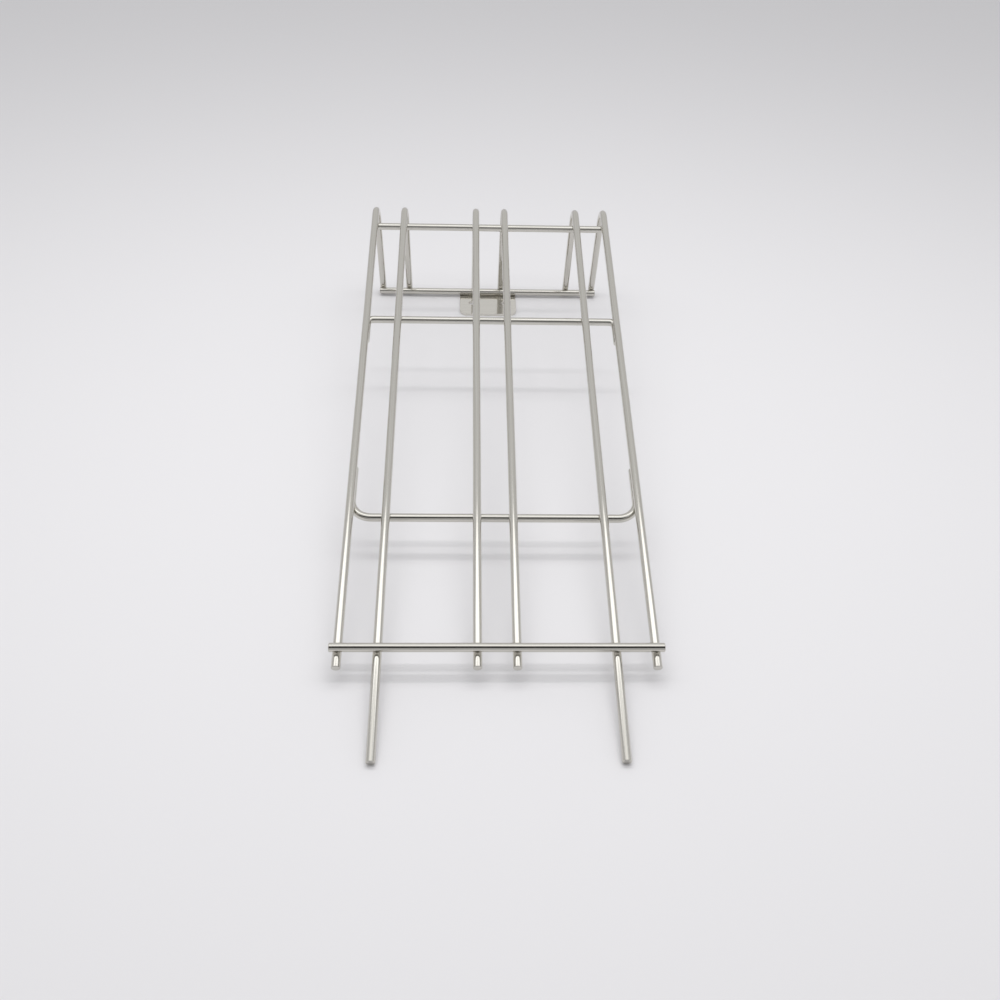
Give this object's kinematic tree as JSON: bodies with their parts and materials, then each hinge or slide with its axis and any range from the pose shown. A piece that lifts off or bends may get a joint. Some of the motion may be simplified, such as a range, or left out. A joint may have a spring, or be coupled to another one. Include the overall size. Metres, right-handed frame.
{
  "type": "wall rack",
  "caption": "Wall rack of bent round wire: long sloping wires with square rear bends, cross bars, hoops and a screw plate.",
  "frame": {"origin": "midway between the two screw holes, on the wall face of the mounting plate", "axes": "+X along the cross bars, +Y along the wires towards the rear bends, +Z away from the wall"},
  "size_m": [0.178, 0.4472, 0.0859],
  "materials": {
    "wire": "bright drawn stainless steel wire",
    "plate": "stamped stainless sheet, lightly polished",
    "weld": "cleaned resistance weld flash"
  },
  "bodies": {
    "root": {"left_outer_wire": "wire", "left_leg_wire": "wire", "left_inner_wire": "wire", "right_inner_wire": "wire", "right_leg_wire": "wire", "right_outer_wire": "wire", "front_bar": "wire", "front_hoop": "wire", "rear_hoop": "wire", "top_bar": "wire", "base_bar": "wire", "mounting_plate": "plate", "front_bar_welds": "weld", "front_hoop_welds": "weld", "front_hoop_leg_welds": "weld", "rear_hoop_welds": "weld", "rear_hoop_leg_welds": "weld", "top_bar_welds": "weld", "base_bar_welds": "weld", "plate_welds": "weld"}
  },
  "joints": []
}
